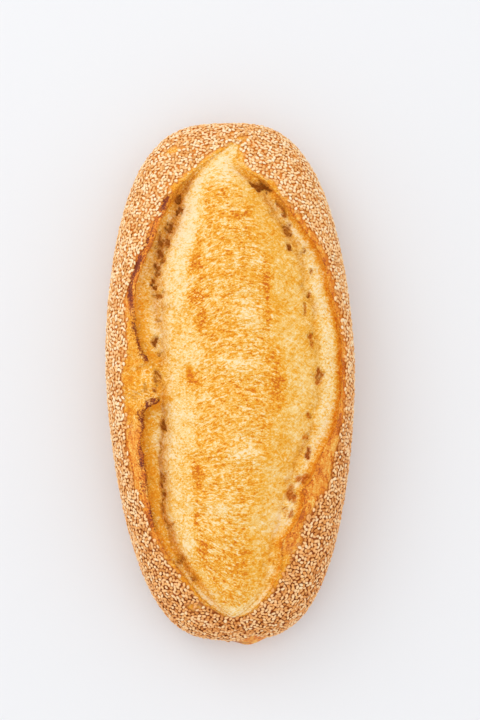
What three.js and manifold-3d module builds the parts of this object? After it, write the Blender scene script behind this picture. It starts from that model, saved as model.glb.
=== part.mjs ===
// A sesame loaf: a short, wide oval bread with one long slash that opened in the oven.
// Millimetres, +Z up, the long axis along Y with the head at +Y, the flat foot on Z = 0.
import * as THREE from "three";
import Module from "manifold-3d";

// The plan outline: widest a little above the middle, blunt at both ends.
const HEAD_END = 181; // reach of the head from the origin
const FOOT_END = 177; // reach of the foot from the origin, without its heel
const WIDTH = 170.5;
const BELLY_Y = 10; // where the loaf is widest
const HEAD_TAPER = 1.8;
const FOOT_TAPER = 1.6;
const END_BLUNTNESS = 3.3;

// The side outline and the section.
const DOME_TOP = 80; // crown of the closed dome that carries the slash
const HEAD_TIP_Z = 28; // height of the outermost point of the head
const FOOT_TIP_Z = 19; // height of the outermost point of the foot, which spread more
const RIDGE_TAPER = 2.5;
const RIDGE_BLUNTNESS = 2.4;
const END_LIFT_FROM = 0.86; // share of each half where the underside leaves the table
const BULGE_SHARE = 0.4; // height of the widest line, as a share of the section
const BASE_SHARE = 0.72; // width of the flat underside, as a share of the section
const BASE_NARROWING = 0.3; // how much of that share is lost at the ends
const DOME_FULLNESS = 2.5;

// The opened slash: the crest of each lip, as Y and X from foot to head.
const LEFT_LIP = [
  [-162, -2.7], [-160.5, -7.5], [-157.5, -11.5], [-153, -17.5], [-147, -23.5], [-130, -37], [-112, -49.5],
  [-92, -56], [-50, -61], [-15, -60], [15, -61.5], [50, -64.5], [74, -59.5], [91, -51.5], [107, -44],
  [124, -36.2], [138, -25], [164.5, 9.5],
];
const RIGHT_LIP = [
  [-162, -2.7], [-161, 4], [-157.8, 10.2], [-153, 15.6], [-146, 22.2], [-136, 28.4], [-114, 36], [-95, 45],
  [-85, 48], [-61, 58], [-33, 72], [-4, 77], [24, 76.5], [57, 70.6], [86, 61.8], [113, 43], [121, 37],
  [128, 31.5], [134, 24.8], [139, 17], [144, 10.5], [150, 8], [157, 8.6], [164.5, 11],
];
const FOOT_TIP_Y = LEFT_LIP[0][0];
const HEAD_TIP_Y = LEFT_LIP[LEFT_LIP.length - 1][0];
const SEAM_HALF = 0.8; // half width of the slash at both of its tips
const SEAM_SPREAD = 0.7; // how fast the smooth strip beyond a tip widens again
const LIP_RISE = 3; // how far the crust curls up along the slash
const LIP_ROLL = 6; // width of that curl
const LIP_TUCK = 1.2; // how far the crest leans over the trough
const FULL_OPENING = 115; // opening width at which troughs and lips reach full size

// What lies between the lips: share of the opening from left to right, and height above the dome.
const OPENING_PROFILE = [
  [0, -2.5], [0.04, -5.5], [0.085, -8.5], [0.115, -9.8], [0.135, -8.6], [0.165, -5], [0.2, -3.2], [0.28, -0.5],
  [0.47, 4], [0.67, 1], [0.78, -3], [0.84, -5], [0.876, -6.2], [0.91, -5.6], [0.95, -4.4], [1, -2],
];
const DEEPEST_LEFT = 0.118; // share at which that table puts the left trough
const WALL_SHARE = 0.1; // share of the opening that gives way beside a torn lip
// Where the left trough runs, as Y and share of the opening.
const LEFT_TROUGH = [
  [-150, 0.1], [-125, 0.11], [-100, 0.1], [-80, 0.1], [-37, 0.112], [0, 0.118], [30, 0.118], [60, 0.095],
  [80, 0.07], [95, 0.062], [110, 0.085], [125, 0.075], [135, 0.09], [150, 0.1],
];
const TROUGH_PULL = 0.1; // how much of the opening on either side shifts with the trough
// How deep the troughs are along the loaf, as Y and share of the full depth.
const TROUGH_DEPTH = [[-165, 0.5], [-150, 0.7], [-125, 1], [115, 1], [132, 0.75], [146, 0.3], [165, 0.2]];

// The tear where the left lip broke and spread.
const TEAR_Y = -2;
const TEAR_HALF = 10;
const TEAR_SQUARENESS = 6;
const TEAR_SPREAD = 9.5;
const TEAR_FLUSH_HALF = 14; // half length over which torn dough fills the trough
const TEAR_FILL = 0.9; // share of the trough's depth that it fills
const TEAR_REACH = 0.12; // as a share of the opening

// Hooks of crust that bend into the opening on the left, and nibs on the right.
const LEFT_HOOKS = [{ y: 10, reach: 5, half: 7 }, { y: -14.3, reach: 13, half: 5.5 }];
const RIGHT_NIBS = [{ y: -78, reach: 4, half: 3 }, { y: -113, reach: 3.5, half: 7 }];

// Crosswise swells of the stretched dough in the opening.
const SWELL_HEIGHT = 0.5;
const SWELL_PITCH = 31;
const SWELL_SECOND = 0.61; // pitch of the second swell, as a share of the first
const SWELL_DRIFT = 0.05; // phase gained per millimetre of X, so the swells run askew

// The bare tail of crust at the foot.
const HEEL = { reach: 5.3, x: 8, z: 15, halfWidth: 12, halfHeight: 10, from: -152 };

// Sesame, lying flat on the crust.
const SEED = { length: 3.2, width: 2.1, thickness: 1.2, taper: 0.3, rise: 0.12 };
const SEED_COUNT = 175;
const SEED_SPACING = 13;
const SEED_TRIES = 60000;
const SEED_DRAW = 20417;
const BARE_RIM = 7; // crust without seeds along the lips
const SEED_LOWEST = 7; // seeds begin this high above the table

// How finely the loaf is divided.
const STATIONS = 64;
const STATION_CROWDING = 1.6;
const STATION_GAP = 2.5; // no even station stays nearer than this to one of the torn places
const TORN_STATIONS = [-113, -82, -78, -74, -25, -19, -14.3, -10, -6, -2, 2, 6, 10, 16];
const UNDER_STEPS = 2;
const LOWER_STEPS = 3;
const UPPER_STEPS = 6;
const UPPER_CROWDING = 1.7;
const OPENING_SHARES = [
  0.05, 0.085, 0.118, 0.145, 0.18, 0.23, 0.3, 0.38, 0.47, 0.56, 0.65, 0.72, 0.78, 0.83, 0.876, 0.92, 0.96,
];

const clamp = (v, low, high) => Math.min(Math.max(v, low), high);
const bell = (v) => Math.exp(-v * v);

// A smooth curve through a short table of pairs.
function along(table, v) {
  const last = table.length - 1;
  const slope = (k) => {
    const a = table[Math.max(k - 1, 0)];
    const b = table[Math.min(k + 1, last)];
    return (b[1] - a[1]) / (b[0] - a[0]);
  };
  if (v <= table[0][0]) return table[0][1];
  if (v >= table[last][0]) return table[last][1];
  let k = 0;
  while (table[k + 1][0] < v) k += 1;
  const [x0, y0] = table[k];
  const [x1, y1] = table[k + 1];
  const run = x1 - x0;
  const s = (v - x0) / run;
  const smooth = s * s * (3 - 2 * s);
  return y0 * (1 - smooth) + y1 * smooth
    + run * s * (1 - s) * (slope(k) * (1 - s) - slope(k + 1) * s);
}

function endShare(y) {
  return y > BELLY_Y ? (y - BELLY_Y) / (HEAD_END - BELLY_Y) : (BELLY_Y - y) / (FOOT_END + BELLY_Y);
}

function halfWidth(y) {
  const taper = y > BELLY_Y ? HEAD_TAPER : FOOT_TAPER;
  return (WIDTH / 2) * Math.max(1 - endShare(y) ** taper, 0) ** (1 / END_BLUNTNESS);
}

const tipZ = (y) => (y > BELLY_Y ? HEAD_TIP_Z : FOOT_TIP_Z);

function ridge(y) {
  const fall = Math.max(1 - endShare(y) ** RIDGE_TAPER, 0) ** (1 / RIDGE_BLUNTNESS);
  return tipZ(y) + (DOME_TOP - tipZ(y)) * fall;
}

function underside(y) {
  const share = clamp((endShare(y) - END_LIFT_FROM) / (1 - END_LIFT_FROM), 0, 1);
  return tipZ(y) * (1 - Math.sqrt(1 - share * share));
}

const baseShare = (y) => BASE_SHARE * (1 - BASE_NARROWING * endShare(y) ** 4);

function bulge(y) {
  return underside(y) + BULGE_SHARE * (ridge(y) - underside(y));
}

function dome(x, y) {
  const share = Math.min(Math.abs(x) / halfWidth(y), 1);
  return bulge(y) + (ridge(y) - bulge(y)) * Math.max(1 - share ** DOME_FULLNESS, 0) ** (1 / DOME_FULLNESS);
}

const tear = (y, half = TEAR_HALF) => Math.exp(-(((y - TEAR_Y) / half) ** TEAR_SQUARENESS));
const reachOf = (places, y) => places.reduce((sum, p) => sum + p.reach * bell((y - p.y) / p.half), 0);

// The two lips before they tore, and how far the slash opened there. Beyond the tips nothing has opened.
function calmLips(y) {
  const tip = clamp(y, FOOT_TIP_Y, HEAD_TIP_Y);
  const shrink = halfWidth(y) / halfWidth(tip);
  const left = along(LEFT_LIP, tip);
  const right = along(RIGHT_LIP, tip);
  const middle = (left + right) / 2;
  const half = Math.max((right - left) / 2, SEAM_HALF) + SEAM_SPREAD * Math.abs(y - tip);
  return {
    left: (middle - half) * shrink,
    right: (middle + half) * shrink,
    opened: y === tip ? clamp((right - left) / FULL_OPENING, 0, 1) : 0,
  };
}

// The two lips with the tear, the hooks and the nibs.
function lips(y) {
  const calm = calmLips(y);
  return {
    left: calm.left - TEAR_SPREAD * tear(y) + reachOf(LEFT_HOOKS, y),
    right: calm.right - reachOf(RIGHT_NIBS, y),
    opened: calm.opened,
  };
}

// A point of the crust from the edge of the underside (0) to the lip (1), on the right (1) or left (-1).
function crust(y, side, share) {
  const half = halfWidth(y);
  const edge = lips(y);
  const lip = side > 0 ? edge.right : edge.left;
  const kept = side > 0 ? 1 : 1 - tear(y);
  const x = side * half + (lip - side * half) * share ** UPPER_CROWDING;
  const curl = LIP_RISE * edge.opened * kept * bell((x - lip) / LIP_ROLL);
  return [x, dome(x, y) + curl];
}

function lowerCrust(y, side, share) {
  const turn = (share * Math.PI) / 2;
  const across = baseShare(y) + (1 - baseShare(y)) * Math.sin(turn);
  return [side * halfWidth(y) * across, underside(y) + (bulge(y) - underside(y)) * (1 - Math.cos(turn))];
}

function crest(y, side) {
  const edge = lips(y);
  const [x, z] = crust(y, side, 1);
  return [x - side * LIP_TUCK * edge.opened, z];
}

// The troughs keep their line where a lip is torn, and only the walls give way.
function openingX(y, share) {
  const calm = calmLips(y);
  const edge = lips(y);
  const width = calm.right - calm.left;
  if (share < WALL_SHARE) {
    return edge.left + ((calm.left + width * WALL_SHARE - edge.left) * share) / WALL_SHARE;
  }
  if (share > 1 - WALL_SHARE) {
    return edge.right + ((calm.right - width * WALL_SHARE - edge.right) * (1 - share)) / WALL_SHARE;
  }
  return calm.left + width * share;
}

// A point of the stretched dough between the lips, from the left lip (0) to the right (1).
function opening(y, share) {
  const edge = lips(y);
  const x = openingX(y, share);
  const trough = along(LEFT_TROUGH, y);
  const drift = (DEEPEST_LEFT - trough) * bell((share - trough) / TROUGH_PULL);
  const height = along(OPENING_PROFILE, clamp(share + drift, 0, 1));
  const unfilled = 1 - TEAR_FILL * tear(y, TEAR_FLUSH_HALF) * bell(share / TEAR_REACH);
  const risen = height < 0 ? height * along(TROUGH_DEPTH, y) * unfilled : height;
  const phase = (2 * Math.PI * y) / SWELL_PITCH + SWELL_DRIFT * x;
  const swell = SWELL_HEIGHT * (Math.sin(phase) + Math.sin(phase / SWELL_SECOND)) * Math.sin(Math.PI * share);
  return [x, dome(x, y) + edge.opened * (risen + swell)];
}

// One closed ring around the loaf, from the middle of the underside over the right side to the left.
function ring(y) {
  const points = [];
  const base = halfWidth(y) * baseShare(y);
  const floor = underside(y);
  for (let k = 0; k < UNDER_STEPS; k += 1) points.push([(base * k) / UNDER_STEPS, floor]);
  for (let k = 0; k < LOWER_STEPS; k += 1) points.push(lowerCrust(y, 1, k / LOWER_STEPS));
  for (let k = 0; k < UPPER_STEPS; k += 1) points.push(crust(y, 1, k / UPPER_STEPS));
  points.push(crest(y, 1));
  for (const share of OPENING_SHARES.toReversed()) points.push(opening(y, share));
  points.push(crest(y, -1));
  for (let k = UPPER_STEPS - 1; k >= 0; k -= 1) points.push(crust(y, -1, k / UPPER_STEPS));
  for (let k = LOWER_STEPS - 1; k >= 0; k -= 1) points.push(lowerCrust(y, -1, k / LOWER_STEPS));
  for (let k = UNDER_STEPS - 1; k > 0; k -= 1) points.push([(-base * k) / UNDER_STEPS, floor]);
  return points;
}

// The tail at the foot draws the end of the loaf out a little.
function withHeel(x, y, z) {
  const near = clamp((HEEL.from - y) / (FOOT_END + HEEL.from), 0, 1);
  const pull = HEEL.reach * near * bell((x - HEEL.x) / HEEL.halfWidth) * bell((z - HEEL.z) / HEEL.halfHeight);
  return [x, y - pull, z];
}

// Stations along Y, closer together toward the ends and at the torn places.
function stationPlaces() {
  const places = [...TORN_STATIONS];
  for (let k = 1; k < STATIONS; k += 1) {
    const s = (2 * k) / STATIONS - 1;
    const reach = s < 0 ? FOOT_END : HEAD_END;
    const y = Math.sign(s) * reach * (1 - (1 - Math.abs(s)) ** STATION_CROWDING);
    if (TORN_STATIONS.every((other) => Math.abs(other - y) > STATION_GAP)) places.push(y);
  }
  return places.sort((a, b) => a - b);
}

function loafBody() {
  const positions = [];
  const faces = [];
  const put = (x, y, z) => positions.push(...withHeel(x, y, z));
  put(0, -FOOT_END, FOOT_TIP_Z);
  const stations = stationPlaces();
  const last = stations.length - 1;
  const count = ring(0).length;
  for (const y of stations) {
    for (const [x, z] of ring(y)) put(x, y, z);
  }
  put(0, HEAD_END, HEAD_TIP_Z);
  const headPole = positions.length / 3 - 1;
  const at = (k, j) => 1 + k * count + (j % count);
  for (let j = 0; j < count; j += 1) {
    faces.push(0, at(0, j), at(0, j + 1));
    for (let k = 0; k < last; k += 1) {
      faces.push(at(k, j), at(k + 1, j), at(k + 1, j + 1));
      faces.push(at(k, j), at(k + 1, j + 1), at(k, j + 1));
    }
    faces.push(headPole, at(last, j + 1), at(last, j));
  }
  return { positions: new Float32Array(positions), faces: new Uint32Array(faces) };
}

function sesameSeed() {
  const geometry = new THREE.SphereGeometry(0.5, 4, 3);
  const place = geometry.attributes.position;
  for (let k = 0; k < place.count; k += 1) {
    const lengthwise = place.getY(k);
    const narrow = 1 - 2 * SEED.taper * lengthwise;
    place.setXYZ(k, place.getX(k) * SEED.width * narrow, lengthwise * SEED.length, place.getZ(k) * SEED.thickness);
  }
  return geometry;
}

function seededDraw(start) {
  let state = start >>> 0;
  return () => {
    state = (state + 0x6d2b79f5) >>> 0;
    let mixed = Math.imul(state ^ (state >>> 15), 1 | state);
    mixed = (mixed + Math.imul(mixed ^ (mixed >>> 7), 61 | mixed)) ^ mixed;
    return ((mixed ^ (mixed >>> 14)) >>> 0) / 4294967296;
  };
}

const onSeededCrust = (p) => {
  const edge = lips(clamp(p.y, -FOOT_END, HEAD_END));
  const clear = p.x > edge.right + BARE_RIM || p.x < edge.left - BARE_RIM
    || p.y < FOOT_TIP_Y - BARE_RIM || p.y > HEAD_TIP_Y + BARE_RIM;
  const heel = Math.abs(p.x - HEEL.x) < HEEL.halfWidth && p.y < -FOOT_END + HEEL.reach && p.z < HEEL.z + HEEL.halfHeight;
  return clear && !heel && p.z > SEED_LOWEST;
};

// Places for the seeds, drawn evenly over the crust's facets and kept apart from one another.
function seedPlaces(body) {
  const corner = (k) => new THREE.Vector3().fromArray(body.positions, 3 * body.faces[k]);
  const triangles = [];
  let area = 0;
  for (let k = 0; k < body.faces.length; k += 3) {
    const triangle = new THREE.Triangle(corner(k), corner(k + 1), corner(k + 2));
    area += triangle.getArea();
    triangles.push({ triangle, until: area });
  }
  const draw = seededDraw(SEED_DRAW);
  const places = [];
  for (let n = 0; n < SEED_TRIES && places.length < SEED_COUNT; n += 1) {
    const wanted = draw() * area;
    let low = 0;
    let high = triangles.length - 1;
    while (low < high) {
      const half = (low + high) >> 1;
      if (triangles[half].until < wanted) low = half + 1;
      else high = half;
    }
    const { triangle } = triangles[low];
    const root = Math.sqrt(draw());
    const slide = draw();
    const spot = new THREE.Vector3()
      .addScaledVector(triangle.a, 1 - root)
      .addScaledVector(triangle.b, root * (1 - slide))
      .addScaledVector(triangle.c, root * slide);
    const turn = draw() * 2 * Math.PI;
    if (!onSeededCrust(spot)) continue;
    if (places.some((other) => other.spot.distanceTo(spot) < SEED_SPACING)) continue;
    places.push({ spot, turn, normal: triangle.getNormal(new THREE.Vector3()) });
  }
  return places;
}

const wasm = await Module();
wasm.setup();

// A closed solid from corner positions, with equal corners made one.
function solid(positions, faces) {
  const index = new Map();
  const corners = [];
  const remap = [];
  for (let k = 0; k < positions.length; k += 3) {
    const name = [0, 1, 2].map((axis) => Math.round(positions[k + axis] * 1e4)).join();
    if (!index.has(name)) {
      index.set(name, corners.length / 3);
      corners.push(positions[k], positions[k + 1], positions[k + 2]);
    }
    remap.push(index.get(name));
  }
  const triangles = [];
  for (let k = 0; k < faces.length; k += 3) {
    const [a, b, c] = [remap[faces[k]], remap[faces[k + 1]], remap[faces[k + 2]]];
    if (a !== b && b !== c && c !== a) triangles.push(a, b, c);
  }
  return new wasm.Manifold(new wasm.Mesh({
    numProp: 3,
    vertProperties: new Float32Array(corners),
    triVerts: new Uint32Array(triangles),
  }));
}

const body = loafBody();
let loaf = solid(body.positions, body.faces);
const flat = new THREE.Vector3(0, 0, 1);
for (const { spot, turn, normal } of seedPlaces(body)) {
  const stand = new THREE.Quaternion().setFromUnitVectors(flat, normal);
  const spin = new THREE.Quaternion().setFromAxisAngle(flat, turn);
  const place = spot.clone().addScaledVector(normal, SEED.rise);
  const pose = new THREE.Matrix4().compose(place, stand.multiply(spin), new THREE.Vector3(1, 1, 1));
  const seed = sesameSeed().applyMatrix4(pose);
  loaf = loaf.add(solid(seed.attributes.position.array, seed.index.array));
}

const made = loaf.getMesh();
const geometry = new THREE.BufferGeometry();
geometry.setAttribute("position", new THREE.BufferAttribute(new Float32Array(made.vertProperties), 3));
geometry.setIndex(new THREE.BufferAttribute(new Uint32Array(made.triVerts), 1));
geometry.computeVertexNormals();

const material = new THREE.MeshStandardMaterial({ color: 0xd79a4b, roughness: 0.7, metalness: 0 });
material.name = "crust";
const mesh = new THREE.Mesh(geometry, material);
mesh.name = "loaf";

const group = new THREE.Group();
group.name = "sesame_loaf";
group.add(mesh);
export default group;
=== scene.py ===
"""A sesame loaf: a short, wide oval bread with one long slash that opened in the oven.

The loaf lies along Y with its head at +Y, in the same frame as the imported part.
Sizes are in millimetres until a mesh is made, and in metres from there on.
"""

import math
from functools import partial
from types import SimpleNamespace

import bpy
import numpy as np
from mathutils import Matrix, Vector


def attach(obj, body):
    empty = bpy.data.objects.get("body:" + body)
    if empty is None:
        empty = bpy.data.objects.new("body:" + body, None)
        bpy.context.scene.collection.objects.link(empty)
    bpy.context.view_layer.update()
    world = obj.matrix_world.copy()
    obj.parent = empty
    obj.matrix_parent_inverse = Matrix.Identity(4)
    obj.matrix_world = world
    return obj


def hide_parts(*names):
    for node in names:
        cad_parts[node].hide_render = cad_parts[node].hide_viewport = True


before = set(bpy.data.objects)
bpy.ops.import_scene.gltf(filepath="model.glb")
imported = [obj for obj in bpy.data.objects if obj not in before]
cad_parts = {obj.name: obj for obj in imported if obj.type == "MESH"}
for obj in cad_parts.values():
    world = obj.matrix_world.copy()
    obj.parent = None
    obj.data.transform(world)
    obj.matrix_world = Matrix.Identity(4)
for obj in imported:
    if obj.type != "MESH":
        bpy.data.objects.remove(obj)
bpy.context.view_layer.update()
MM = 0.001

# Kinds of node that are used often, some with their settings
MATHS = ("ADD", "SUBTRACT", "MULTIPLY", "MULTIPLY_ADD", "DIVIDE", "MAXIMUM", "LESS_THAN", "GREATER_THAN")
ADD, SUBTRACT, MULTIPLY, MULTIPLY_ADD, DIVIDE, MAXIMUM, LESS_THAN, GREATER_THAN = (
    ("ShaderNodeMath", {"operation": name}) for name in MATHS
)
SCALE = ("ShaderNodeVectorMath", {"operation": "SCALE"})
MIX = ("ShaderNodeMix", {"data_type": "RGBA"})
READ = ("GeometryNodeInputNamedAttribute", {"data_type": "FLOAT"})
STORE = ("GeometryNodeStoreNamedAttribute", {"data_type": "FLOAT", "domain": "POINT"})
RANGE = "ShaderNodeMapRange"
RAMP = "ShaderNodeValToRGB"
SPLIT = "ShaderNodeSeparateXYZ"
JOIN = "ShaderNodeCombineXYZ"

# The plan outline, the side outline and the section, as in the part's source
HEAD_END = 181.0
FOOT_END = 177.0
WIDTH = 170.5
BELLY_Y = 10.0
HEAD_TAPER = 1.8
FOOT_TAPER = 1.6
END_BLUNTNESS = 3.3
DOME_TOP = 80.0
HEAD_TIP_Z = 28.0
FOOT_TIP_Z = 19.0
RIDGE_TAPER = 2.5
RIDGE_BLUNTNESS = 2.4
END_LIFT_FROM = 0.86
BULGE_SHARE = 0.4
BASE_SHARE = 0.72
BASE_NARROWING = 0.3
DOME_FULLNESS = 2.5

# The opened slash: the crest of each lip, as Y and X from foot to head
LEFT_LIP = [
    (-162, -2.7), (-160.5, -7.5), (-157.5, -11.5), (-153, -17.5), (-147, -23.5), (-130, -37), (-112, -49.5),
    (-92, -56), (-50, -61), (-15, -60), (15, -61.5), (50, -64.5), (74, -59.5), (91, -51.5), (107, -44),
    (124, -36.2), (138, -25), (164.5, 9.5),
]
RIGHT_LIP = [
    (-162, -2.7), (-161, 4), (-157.8, 10.2), (-153, 15.6), (-146, 22.2), (-136, 28.4), (-114, 36), (-95, 45),
    (-85, 48), (-61, 58), (-33, 72), (-4, 77), (24, 76.5), (57, 70.6), (86, 61.8), (113, 43), (121, 37),
    (128, 31.5), (134, 24.8), (139, 17), (144, 10.5), (150, 8), (157, 8.6), (164.5, 11),
]
SEAM_HALF = 0.8
SEAM_SPREAD = 0.7
LIP_RISE = 3.0
LIP_ROLL = 6.0
LIP_TUCK = 1.2
FULL_OPENING = 115.0
# Height of the stretched dough over the dome, by its share of the way from the left lip to the right
OPENING_PROFILE = [
    (0, -2.5), (0.04, -5.5), (0.085, -8.5), (0.115, -9.8), (0.135, -8.6), (0.165, -5), (0.2, -3.2),
    (0.28, -0.5), (0.47, 4), (0.67, 1), (0.78, -3), (0.84, -5), (0.876, -6.2), (0.91, -5.6),
    (0.95, -4.4), (1, -2),
]
DEEPEST_LEFT = 0.118
DEEPEST_RIGHT = 0.876
# Where the left trough runs, as Y and share of the way across
LEFT_TROUGH = [
    (-150, 0.1), (-125, 0.11), (-100, 0.1), (-80, 0.1), (-37, 0.112), (0, 0.118), (30, 0.118), (60, 0.095),
    (80, 0.07), (95, 0.062), (110, 0.085), (125, 0.075), (135, 0.09), (150, 0.1),
]
WALL_SHARE = 0.1
# How deep the troughs are along the loaf, as Y and share of the full depth
TROUGH_DEPTH = [(-165, 0.5), (-150, 0.7), (-125, 1), (115, 1), (132, 0.75), (146, 0.3), (165, 0.2)]

# The tear where the left lip broke and spread, and the hooks and nibs of crust: Y, reach, half length
TEAR_Y = -2.0
TEAR_HALF = 10.0
TEAR_SPREAD = 9.5
TEAR_FLUSH_HALF = 14.0
TEAR_CRUMB_HALF = 16.0
TEAR_FILL = 0.9
TEAR_REACH = 0.12
LEFT_HOOKS = [(10.0, 5.0, 7.0), (-14.3, 13.0, 5.5)]
RIGHT_NIBS = [(-78.0, 4.0, 3.0), (-113.0, 3.5, 7.0)]

# Crosswise swells of the stretched dough, how its wrinkles and fibres bend, and the heel at the foot
SWELL_HEIGHT = 0.5
SWELL_PITCH = 31.0
SWELL_SECOND = 0.61
SWELL_DRIFT = 0.05
FLOW_BEND = 0.009
FLOW_MIDDLE = 10.0
STRETCH_BEND = 0.012
HEEL_REACH = 5.3
HEEL_X = 8.0
HEEL_Z = 15.0
HEEL_HALF_WIDTH = 12.0
HEEL_HALF_HEIGHT = 10.0
HEEL_FROM = -152.0
HEEL_ARCH = 30.0
HEEL_ARCH_BEND = 0.045
HEEL_ARCH_X = 11.0

# Crust left bare of seeds along each lip, as Y and width from the lip's unbroken line
LEFT_BARE = [
    (-160, 1), (-150, 2.1), (-130, 2.3), (-112, 1.8), (-92, 2.4), (-78, 5.5), (-60, 7.5), (-30, 9.5),
    (-15, 11), (0, 12), (10, 10), (22, 6), (36, 4.5), (50, 4.2), (125, 4.2), (138, 3.5), (148, 4.2),
    (157, 3.6), (165, 1.5),
]
# How far outside the left crest its burnt line runs
BURNT_OUT = [(-160, 0), (25, 0), (45, 1), (60, 3), (120, 3), (140, 1), (165, 0)]
RIGHT_BARE = [
    (-160, 1), (-136, 2.6), (-124, 4), (-114, 7.5), (-101, 3.8), (-87, 8), (-75, 11), (-61, 8.4),
    (-48, 5), (-36, 2.2), (0, 0.8), (57, 0.9), (92, 1.8), (108, 2.8), (123, 2.6), (133, 4.6),
    (145, 4.6), (156, 2.6), (165, 1.0),
]

# Burnt spots of crust that lie aslant: X, Y, turn from X in degrees, half length, half width
BURNT_HOOK = (-53.0, -18.5, 45.0, 7.576, 4.546)
HEAD_CRACK = (-9.5, 150.5, 37.674, 4.509, 1.102)

# Holes torn in the troughs, placed one by one: X, Y, half width, half length, depth
TORN_HOLES = [
    (-26.5, 132, 2.6, 7, 3), (-32, 124, 3.4, 4, 6), (-31, 114.5, 3.4, 3.2, 6),
    (-38.6, 105, 3.2, 2.6, 6), (-39.4, 100.5, 2.8, 2.2, 5), (-43.6, 94.5, 5.6, 4.4, 5.5),
    (-45.8, 85.5, 3.6, 7, 5.5), (-48.6, 74.7, 3.4, 6.4, 5.5), (-51.2, 63.8, 2.8, 3.8, 5.5),
    (-47, 56.5, 3.6, 2.6, 5), (-45, 47, 2.8, 3.4, 2.5), (-47, 39, 2, 1.7, 3.5), (-50, 25, 2.1, 3.4, 6),
    (-47, 16, 1.8, 2.1, 4), (-49, 0, 2.6, 3.6, 4.5), (-50.5, -8, 1.6, 2.2, 4), (-57, -6, 1.3, 1.9, 3),
    (-45.3, -32.5, 2.9, 4.6, 6.5), (-46, -67, 1.8, 3.1, 4.5), (-46, -80, 2, 3.1, 4.5),
    (-42, -99, 2, 2.8, 4), (-36, -123, 2.4, 4.8, 4), (-28, -134, 2.7, 2.1, 3.5),
    (19.5, 131.8, 3.8, 1.9, 6), (24.3, 130.6, 4.4, 2.6, 9), (28.8, 128.2, 3.2, 2.4, 8),
    (38.8, 114.5, 3.2, 6, 5), (41, 99, 2.6, 4.6, 5), (43, 87, 2.2, 3.1, 5.5), (52, 84, 1.5, 2.1, 4),
    (57, 70, 1.4, 2.8, 4), (54, 54, 2.1, 3.4, 5), (51, 44, 1.4, 5.4, 3.5), (55, 26, 1.8, 2.4, 4.5),
    (55, 20, 2.1, 4.1, 3.5), (60, -1, 3.2, 6.2, 5), (53, -29, 2.1, 2.4, 4), (50, -43, 1.8, 1.8, 4),
    (51, -53, 2.4, 3.1, 5.5), (46.5, -70, 4.6, 3, 4), (40, -80, 4.4, 4.6, 5), (39, -94, 1.8, 2.1, 3.5),
]
SMALL_HOLES = 26
HOLE_DRAW = 5113

# Crevices along the troughs: depth, then half width and strength by Y
CREVICE_DEPTH = 4.5
CREVICE_HALF = [
    (-140, 1.6), (-100, 1.4), (-80, 0.9), (0, 1), (40, 1.4), (80, 2.6), (110, 3.2), (150, 2),
]
LEFT_CREVICE = [
    (-145, 0.2), (-120, 0.6), (-95, 0.7), (-85, 1), (-37, 1), (-25, 0.4), (30, 0.3), (60, 0.4),
    (75, 0.5), (118, 0.55), (135, 0.4), (147, 0.05),
]
RIGHT_CREVICE = [
    (-150, 0.05), (-60, 0.15), (0, 0.25), (80, 0.3), (120, 0.5), (140, 0.5), (155, 0.1),
]
# How much painted shade, in brown, each trough gets, as Y and strength
LEFT_PAINTED_SHADE = [
    (-150, 0.3), (-120, 0.8), (-95, 0.8), (-37, 0.95), (-15, 0.8), (30, 0.5), (60, 0.75), (75, 0.95),
    (118, 0.95), (135, 0.7), (147, 0.1),
]
RIGHT_PAINTED_SHADE = [
    (-150, 0.1), (-80, 0.3), (-62, 0.5), (-46, 0.75), (-35, 0.3), (-22, 0.3), (-12, 0.6), (-2, 0.4),
    (8, 0.4), (18, 0.75), (30, 0.6), (38, 0.4), (48, 0.8), (60, 0.6), (70, 0.6), (95, 0.9), (125, 0.9),
    (140, 0.5), (150, 0),
]

# Patches the oven toasted more or less than the rest: X, Y, half width, half length
TOASTED = [
    (-20, 77, 5, 9), (-22, 53, 5, 6), (-18, 38, 3, 9), (26, 60, 3, 16), (26, 39, 4, 7), (10, 107, 6, 3),
    (-27, -3, 6, 7), (-24, -66, 4, 11), (-24, -95, 3, 5), (-21, -117, 5, 9), (32, -8, 4, 16),
    (46, -80, 3, 3), (-70, 10, 3, 5), (-71, -1, 3, 5), (-68, -22, 3, 6),
]
PALE = [
    (-5, 142, 13, 13), (5, 8, 12, 3), (10, -54, 8, 5), (-7, -89, 5, 4), (-14, -116, 5, 4),
    (-23, 67, 3, 3), (-1, -156, 9, 3), (23, 75, 4, 4), (14, 41, 8, 8), (30, -96, 4, 11),
    (-32, -111, 4, 6), (29, -125, 3.5, 9),
]

# Spots scorched redder than the toast round them: X, Y, half width, half length
SCORCHED = [(-28, 3, 4, 4), (-23, -5, 3, 3.5)]

# Where seeds rubbed off the crust: X, Y, half width, half length
SCUFFED = [(-37, 159, 7, 4), (10, 167, 4.5, 4), (-27, -154, 3.5, 2.5)]

# Sesame: sizes of a seed and of its patches of colour, least spacing and lowest place
SEED_LENGTH = 3.4
SEED_WIDTH = 2.4
SEED_THICKNESS = 1.5
SEED_PATCH = 1.4286
SEED_SPACING = 2.15
SEED_LOWEST = 6.0
# The draw of the seeds' places, candidates on a square metre, how pointed a seed is and how finely divided
SEED_DRAW = 7
SEED_CANDIDATES = 2.0e6
SEED_POINT = 0.6
SEED_SEGMENTS = 7
SEED_RINGS = 5
SEED_CORNERS = SEED_SEGMENTS * (SEED_RINGS - 1) + 2
# What differs from seed to seed: lowest, highest, draw
SEED_CHANCES = {
    "kind": (0.0, 1.0, 3), "pitch": (-0.26, 0.26, 5), "roll": (-0.3, 0.3, 6), "heading": (0.0, 6.2832, 7),
    "wide": (0.86, 1.12, 8), "long": (0.86, 1.12, 9), "thick": (0.85, 1.15, 10),
    "lift": (0.1 * MM, 0.7 * MM, 11), "tone": (0.0, 1.0, 12),
}
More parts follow.
